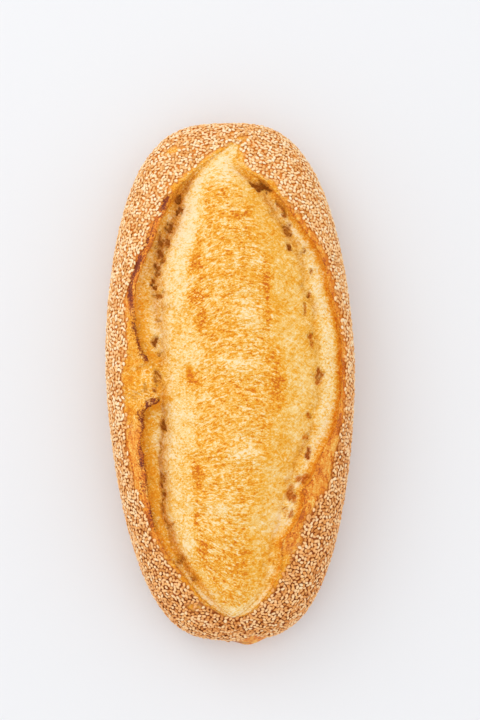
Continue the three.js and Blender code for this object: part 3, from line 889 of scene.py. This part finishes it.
def relief_tree():
    """Wrinkles, stretch fibres, blisters, grain and crags, pushed out along the surface."""
    tree, add, given = new_tree("oven_relief", {name: "Float" for name in RELIEF_HEIGHTS})
    place = add("GeometryNodeInputPosition")
    mark = {}
    for name in ("band", "opening", "bare", "crag", "flow", "stretch"):
        mark[name] = add(READ, {"Name": name})
    raised = {}
    for name, noise in grown_patterns(add, place, mark, RELIEF_PATTERNS).items():
        swing = add(MULTIPLY_ADD, [noise, 2.0, -1.0])
        raised[name] = add(MULTIPLY, [swing, given[name]])

    space = pattern_space(add, place, BLISTER_SIZES)
    spots = add("ShaderNodeTexVoronoi", {"Vector": space, "Scale": 1.0}).outputs
    domes = add(RANGE, [spots["Distance"], 0.1, 0.5, 1.0, 0.0], interpolation_type="SMOOTHSTEP")
    lottery = add(SPLIT, [spots["Color"]])
    drawn = add(GREATER_THAN, [lottery, BLISTERS_LEFT_OUT])
    chosen = add(MULTIPLY, [domes, drawn])
    blisters = add(MULTIPLY, [chosen, given["Blister Height"]])

    on_band = add(ADD, [raised["Wrinkle Height"], blisters])
    on_band = add(MULTIPLY, [on_band, mark["band"]])
    off_band = add(SUBTRACT, [1.0, mark["band"]])
    on_slope = add(MULTIPLY, [raised["Fibre Height"], off_band])
    height = add(ADD, [on_band, on_slope])
    height = add(ADD, [height, raised["Grain Height"]])
    bare = add(MULTIPLY, [mark["bare"], 0.8])
    rough = add(MAXIMUM, [mark["opening"], bare])
    height = add(MULTIPLY, [height, rough])
    crags = add(MULTIPLY, [raised["Crag Height"], mark["crag"]])
    height = add(ADD, [height, crags])
    push = add(SCALE, [add("GeometryNodeInputNormal"), height])
    moved = add("GeometryNodeSetPosition", {"Geometry": given["Geometry"], "Offset": push})
    add("NodeGroupOutput", [moved])
    return tree


# Sesame coat

def sesame_tree():
    """Seeds strewn over the seeded crust, one kind at a time from one shared set of places."""
    tree, add, given = new_tree("sesame_coat", {
        "Spacing": "Float", "Length": "Float", "Width": "Float", "Thickness": "Float", "Kind From": "Float",
        "Kind To": "Float", "Draw": "Int", "Finish": "Material",
    })
    chance = {}
    for name, (low, high, draw) in SEED_CHANCES.items():
        limits = {"Min": low, "Max": high, "Seed": draw}
        chance[name] = add("FunctionNodeRandomValue", limits, data_type="FLOAT")

    seeded = add(READ, {"Name": "seeded"})
    strewn = add("GeometryNodeDistributePointsOnFaces", {
        "Mesh": given["Geometry"], "Distance Min": given["Spacing"], "Density Max": SEED_CANDIDATES,
        "Density Factor": seeded, "Seed": given["Draw"],
    }, distribute_method="POISSON").outputs
    too_low = add(LESS_THAN, [chance["kind"], given["Kind From"]])
    too_high = add(GREATER_THAN, [chance["kind"], given["Kind To"]])
    other = add(MAXIMUM, [too_low, too_high])

    ball = {"Segments": SEED_SEGMENTS, "Rings": SEED_RINGS, "Radius": 0.5}
    ball = add("GeometryNodeMeshUVSphere", ball)
    axis = add(SPLIT, [add("GeometryNodeInputPosition")]).outputs
    narrow = add(MULTIPLY_ADD, [axis[2], -SEED_POINT, 1.0])
    pointed = add(MULTIPLY, [axis[0], narrow])
    upward = add(MULTIPLY, [axis[1], -1.0])
    seed_x = add(MULTIPLY, [pointed, given["Width"]])
    seed_y = add(MULTIPLY, [axis[2], given["Length"]])
    seed_z = add(MULTIPLY, [upward, given["Thickness"]])
    # Height within the seed from its underside to its top, which the finish reads for the painted shade on
    # each seed's lower edge
    crown = add(MULTIPLY, [axis[1], -2.0])
    crowned = add(STORE, {"Geometry": ball, "Name": "crown", "Value": crown})
    corner = add(JOIN, [seed_x, seed_y, seed_z])
    shaped = add("GeometryNodeSetPosition", {"Geometry": crowned, "Position": corner})
    seed = add("GeometryNodeSetShadeSmooth", {"Geometry": shaped})

    spin = add(JOIN, [chance["pitch"], chance["roll"], chance["heading"]])
    turned = add("FunctionNodeRotateRotation", [strewn["Rotation"], spin], rotation_space="LOCAL")
    size = add(JOIN, [chance["wide"], chance["long"], chance["thick"]])
    lift = add(SCALE, [strewn["Normal"], chance["lift"]])
    lifted = add("GeometryNodeSetPosition", {"Geometry": strewn["Points"], "Offset": lift})
    toned = add(STORE, {"Geometry": lifted, "Name": "tone", "Value": chance["tone"]})
    laid = {"Points": toned, "Instance": seed, "Rotation": turned, "Scale": size}
    laid = add("GeometryNodeInstanceOnPoints", laid)
    kept = add("GeometryNodeDeleteGeometry", {"Geometry": laid, "Selection": other}, domain="INSTANCE")
    real = add("GeometryNodeRealizeInstances", {"Geometry": kept})
    done = add("GeometryNodeSetMaterial", {"Geometry": real, "Material": given["Finish"]})
    add("NodeGroupOutput", [done])
    return tree


def seed_map(mesh):
    """Give every seed a cell of its own in the map."""
    count = len(mesh.vertices) // SEED_CORNERS
    cells = math.ceil(math.sqrt(count))
    places = np.empty(len(mesh.vertices) * 3)
    mesh.vertices.foreach_get("co", places)
    seeds = places.reshape(count, SEED_CORNERS, 3)
    seeds = seeds - seeds.mean(1, keepdims=True)
    corner = np.empty(len(mesh.loops), int)
    mesh.loops.foreach_get("vertex_index", corner)
    owner = corner // SEED_CORNERS
    around = np.arctan2(seeds[:, :, 1], seeds[:, :, 0]) / (2 * math.pi) + 0.5
    rank = np.broadcast_to(np.linspace(0.1, 0.9, SEED_CORNERS)[None, :], around.shape)
    spot = np.stack([0.1 + 0.8 * around, rank], -1).reshape(-1, 2)[corner]
    cell = np.stack([owner % cells, owner // cells], -1)
    uv = ((cell + spot) / cells).astype(np.float32)
    mesh.uv_layers.new(name="OFBake").data.foreach_set("uv", uv.ravel())


# Finishes

def new_finish(name):
    """A material with no nodes yet, and what adds them."""
    finish = bpy.data.materials.new(name)
    finish.use_nodes = True
    finish.node_tree.nodes.clear()
    return finish, partial(add_node, finish.node_tree)


def baked_bread():
    """Hearth-baked wheat bread: dull pale crumb that toasts from cream to orange on what stands up, with a
    satin brown crust round it. The eye gets speckles, crosswise wrinkles and a burnt line on torn lips."""
    finish, add = new_finish("hearth_baked_bread")
    place = add("ShaderNodeTexCoord").outputs["Object"]
    across, onward = add(SPLIT, [place]).outputs[:2]
    mark = {}
    for name in BREAD_MARKS:
        mark[name] = add("ShaderNodeAttribute", attribute_name=name).outputs["Fac"]
    pattern = grown_patterns(add, place, mark, BREAD_PATTERNS)
    speckle, clumps, streaks = pattern["speckle"], pattern["clumps"], pattern["streaks"]
    flecks = add(RANGE, [speckle, 0.33, 0.67])
    strokes = add(RANGE, [pattern["strokes"], 0.34, 0.66])

    # Bubbles with bent walls, each with a chance of its own
    space = pattern_space(add, place, BUBBLE_SIZES)
    bent = [pattern["warp"].outputs["Color"], BUBBLE_BEND, space]
    bent = add("ShaderNodeVectorMath", bent, operation="MULTIPLY_ADD")
    bubbles = add("ShaderNodeTexVoronoi", {"Vector": bent, "Scale": 1.0}).outputs
    cells = add(RANGE, [bubbles["Distance"], 0.1, 0.62])
    lottery = add(SPLIT, [bubbles["Color"]])
    walls = {"Vector": bent, "Scale": BUBBLE_WALL_SCALE}
    walls = add("ShaderNodeTexVoronoi", walls, feature="DISTANCE_TO_EDGE")
    rings = add(RANGE, [walls, 0.02, 0.2, 1.0, 0.0])

    # How far each place of the dough is toasted, and the painted shade on the right slope, with the weights
    # that change from place to place
    weight = {}
    for name, follows, gain, rest in (
        ("flecks", mark["band"], -0.08, 0.72), ("strokes", mark["band"], 0.52, 0.1),
        ("fibres", mark["band"], -0.3, 0.4), ("wrinkles", mark["band"], 0.5, 0.0),
        ("crumb", rings, -0.34, 0.12), ("toasted", flecks, 0.27, 0.0),
    ):
        weight[name] = add(MULTIPLY_ADD, [follows, gain, rest])
    contrast = add(MULTIPLY_ADD, [mark["shady"], -0.28, weight["flecks"]])
    ringed = add(MULTIPLY, [rings, mark["toasted"]])
    toast = add(MULTIPLY_ADD, [mark["band"], 0.16, 0.26])
    toast = add_up(add, toast, [
        (cells, 0.5, 0.12), (ringed, 0.0, 0.46), (lottery, 0.5, 0.16), (flecks, 0.5, contrast),
        (clumps, 0.5, 0.6), (strokes, 0.5, weight["strokes"]), (pattern["blots"], 0.5, 0.4),
        (mark["shady"], 0.0, 0.12), (pattern["fibres"], 0.5, weight["fibres"]),
        (pattern["wrinkles"], 0.5, weight["wrinkles"]), (mark["wall"], 0.0, 0.32),
        (mark["crumb"], 0.0, weight["crumb"]), (mark["gilt"], 0.0, 0.38), (mark["rusty"], 0.0, 0.22),
        (mark["toasted"], 0.0, weight["toasted"]), (mark["pale"], 0.0, -0.26),
    ])
    dough = add(RAMP, [toast], [
        (0.0, "#FBE4B8"), (0.25, "#F9D284"), (0.5, "#F2AF32"), (0.75, "#E98E06"), (1.0, "#D06A10"),
    ])
    tint = add(MULTIPLY_ADD, [flecks, 0.5, 0.02])
    tint = add(MULTIPLY, [mark["wall"], tint])
    dough = add(MIX, [tint, dough, to_linear("#FFA81C")])

    # Painted shade, in brown, in the troughs, round the holes and along folds at the foot, and torn strands
    # in the holes, darker deeper in with painted shade, brighter at the lower right
    painted_hollow_shade = add(MULTIPLY_ADD, [clumps, 1.6, 0.1])
    painted_hollow_shade = add(MULTIPLY, [mark["painted_hollow_shade"], painted_hollow_shade])
    painted_hollow_shade = add(RANGE, [painted_hollow_shade, 0.0, 1.0, 0.0, 0.8])
    painted_trough_shade = add(RAMP, [flecks], [(0.1, "#FAC45C"), (0.5, "#E49A28"), (0.9, "#AC6410")])
    dough = add(MIX, [painted_hollow_shade, dough, painted_trough_shade])
    strands = add_up(add, mark["hole"], [(speckle, 0.5, 1.3), (pattern["fibres"], 0.5, 1.4)])
    dull_painted_hole_shade = add(RAMP, [strands], [(0.35, "#F4B848"), (0.62, "#DA8E24"), (1.0, "#AA620E")])
    bright = add(RAMP, [strands], [(0.35, "#F8B040"), (0.62, "#EC8E1C"), (1.0, "#C0620A")])
    rightward = add(RANGE, [across, 0.0, 0.03])
    footward = add(RANGE, [onward, 0.09, 0.04])
    glow = add(RANGE, [clumps, 0.38, 0.58])
    glow = add(MULTIPLY, [glow, rightward])
    glow = add(MULTIPLY, [glow, footward])
    torn = add(MIX, [glow, dull_painted_hole_shade, bright])
    web = add(RANGE, [strands, 0.34, 0.8, 0.0, 0.9])
    dough = add(MIX, [web, dough, torn])

    # The crust: streaked where it is bare, plain under the seeds but with painted light, darker toward the
    # foot and more golden toward the head
    rust = add_up(add, 0.45, [
        (streaks, 0.5, 1.7), (flecks, 0.5, 0.7), (mark["rusty"], 0.0, 0.28), (rightward, 0.0, 0.03),
    ])
    streaked = add(RAMP, [rust], [
        (0.1, "#FBCC70"), (0.36, "#F4A838"), (0.62, "#EA8216"), (0.95, "#A84808"),
    ])
    crust_with_painted_shade = add(RAMP, [streaks], [(0.3, "#B85C0C"), (0.7, "#8A3E06")])
    golden = add(RAMP, [streaks], [(0.3, "#EE9834"), (0.7, "#D87618")])
    plain = add(MIX, [mark["painted_light"], crust_with_painted_shade, golden])
    unseeded = add(MAXIMUM, [mark["bare"], mark["heel"]])
    crust = add(MIX, [unseeded, plain, streaked])
    colour = add(MIX, [mark["opening"], crust, dough])

    # The burnt lips, broken into flakes, and the darkest streaks of the bare crust
    flakes = add_up(add, mark["lip"], [(flecks, 0.5, 0.8), (pattern["ragged"], 0.5, 1.6)])
    flakes = add(RANGE, [flakes, 0.5, 1.15])
    char = add_up(add, 0.0, [(flakes, 0.0, 0.55), (flecks, 0.0, 0.45)])
    burnt = add(RAMP, [char], [
        (0.15, "#DC842A"), (0.4, "#C05A1A"), (0.65, "#8E340C"), (0.9, "#70301C"),
    ])
    on_lip = add(MULTIPLY, [mark["lip"], 3.0], use_clamp=True)
    on_lip = add(MULTIPLY, [on_lip, flakes])
    on_strip = add(RANGE, [rust, 0.72, 1.0, 0.0, 0.7])
    on_strip = add(MULTIPLY, [on_strip, mark["bare"]])
    charred = add(MAXIMUM, [on_lip, on_strip])
    colour = add(MIX, [charred, colour, burnt])

    rough = add(RANGE, [mark["opening"], 0.0, 1.0, 0.48, 0.75])
    height = add_up(add, speckle, [(cells, 0.0, -0.3)])
    relief = add("ShaderNodeBump", {"Strength": 0.5, "Distance": PORE_DEPTH * MM, "Height": height})
    shader = add("ShaderNodeBsdfPrincipled", {
        "Base Color": colour, "Roughness": rough, "IOR": 1.45, "Specular IOR Level": 0.3, "Normal": relief,
    })
    add("ShaderNodeOutputMaterial", [shader])
    return finish


def sesame_finish(name, light, middle, dark):
    """Hulled sesame toasted on the crust: smooth and slightly waxy, each seed a little lighter or darker,
    with painted light toward the head and painted shade on each seed's lower edge.
    """
    finish, add = new_finish(name)
    tone = add("ShaderNodeAttribute", attribute_name="tone").outputs["Fac"]
    crown = add("ShaderNodeAttribute", attribute_name="crown").outputs["Fac"]
    place = add("ShaderNodeTexCoord").outputs["Object"]
    across, onward = add(SPLIT, [place]).outputs[:2]
    # Painted light: seeds lighter toward the head and the left, where more light falls, with a warmer painted
    # shade tint away from it
    aslant = add(MULTIPLY_ADD, [across, -0.5, onward])
    sunlit = add(RANGE, [aslant, -0.15, 0.06])
    painted_light = add(RANGE, [sunlit, 0.0, 1.0, -0.26, 0.04])
    patchy = add("ShaderNodeTexNoise", {"Vector": place, "Scale": 1 / (SEED_PATCH * MM), "Detail": 1.0})
    mixed = add(MULTIPLY_ADD, [patchy, 0.6, tone])
    mixed = add(ADD, [mixed, painted_light])
    face = add(RAMP, [mixed], [(0.2, dark), (0.7, middle), (1.0, light)])
    # Painted shade on the lower edge of every seed, darker away from the light
    rim = add(MIX, [sunlit, to_linear(SEED_SHADE_DIM_SIDE), to_linear(SEED_SHADE_LIT_SIDE)])
    from_rim = add(RANGE, [crown, 0.0, 0.6])
    colour = add(MIX, [from_rim, rim, face])
    painted_shade_tint = add(MIX, [sunlit, to_linear("#FFF3E8"), to_linear("#FFFFFF")])
    colour = add(MIX, [1.0, colour, painted_shade_tint], blend_type="MULTIPLY")
    shader = add("ShaderNodeBsdfPrincipled", {
        "Base Color": colour, "Roughness": 0.42, "IOR": 1.47, "Specular IOR Level": 0.4,
    })
    add("ShaderNodeOutputMaterial", [shader])
    return finish


def floor_finish():
    """Matt pale plaster: an even ground that leaves the eye on the loaf and its soft shadow."""
    finish, add = new_finish("pale_floor")
    shader = add("ShaderNodeBsdfPrincipled", {"Base Color": to_linear("#EAEBEE"), "Roughness": 0.6})
    add("ShaderNodeOutputMaterial", [shader])
    return finish


def new_piece(name, data):
    """A piece in the scene, at the origin."""
    piece = bpy.data.objects.new(name, data)
    bpy.context.scene.collection.objects.link(piece)
    return piece


# The loaf and its coat
heights = {name: height * MM for name, height in RELIEF_HEIGHTS.items()}
loaf = made_plain(new_piece("baked_loaf", loaf_mesh()), relief_tree(), heights)
loaf.data.materials.clear()
loaf.data.materials.append(baked_bread())
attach(loaf, "root")
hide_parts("loaf")

coat = sesame_tree()
for name, kind_from, kind_to, colours in SEED_KINDS:
    seeds = made_plain(new_piece(name, loaf.data.copy()), coat, {
        "Spacing": SEED_SPACING * MM, "Length": SEED_LENGTH * MM, "Width": SEED_WIDTH * MM,
        "Thickness": SEED_THICKNESS * MM, "Kind From": kind_from, "Kind To": kind_to, "Draw": SEED_DRAW,
        "Finish": sesame_finish(name, *colours),
    })
    seed_map(seeds.data)
    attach(seeds, "root")

# Floor
corners = [(-FLOOR_HALF, -FLOOR_HALF, 0), (FLOOR_HALF, -FLOOR_HALF, 0), (FLOOR_HALF, FLOOR_HALF, 0),
           (-FLOOR_HALF, FLOOR_HALF, 0)]
floor_mesh = bpy.data.meshes.new("floor")
floor_mesh.from_pydata(corners, [], [(0, 1, 2, 3)])
floor_mesh.materials.append(floor_finish())
floor = new_piece("floor", floor_mesh)

# A bright room, lighter toward the window on the far left than behind
scene = bpy.context.scene
scene.view_settings.view_transform = "Standard"
sky = bpy.data.worlds.new("bright_room")
sky.use_nodes = True
sky.node_tree.nodes.clear()
add = partial(add_node, sky.node_tree)
way = add("ShaderNodeTexCoord").outputs["Generated"]
toward = add("ShaderNodeVectorMath", [way, WINDOW_WAY], operation="DOT_PRODUCT")
level = add(MULTIPLY_ADD, [toward, ROOM_SLOPE, ROOM_LEVEL])
glow = add("ShaderNodeBackground", [to_linear("#FFFFFF"), level])
add("ShaderNodeOutputWorld", [glow])
scene.world = sky

lamp = bpy.data.lights.new("window", "AREA")
lamp.shape = "DISK"
lamp.size = WINDOW_SIZE
lamp.energy = WINDOW_POWER
window = new_piece("window", lamp)
window.location = WINDOW_WAY * WINDOW_DISTANCE
window.rotation_euler = WINDOW_WAY.to_track_quat("Z", "Y").to_euler()

# Camera
camera = new_piece("camera", bpy.data.cameras.new("camera"))
camera.data.lens = CAMERA_LENS
camera.data.clip_end = CAMERA_REACH
camera.location = Vector(CAMERA_PLACE) * MM
camera.rotation_euler = (math.radians(CAMERA_TILT), 0, math.radians(CAMERA_TURN))
scene.camera = camera
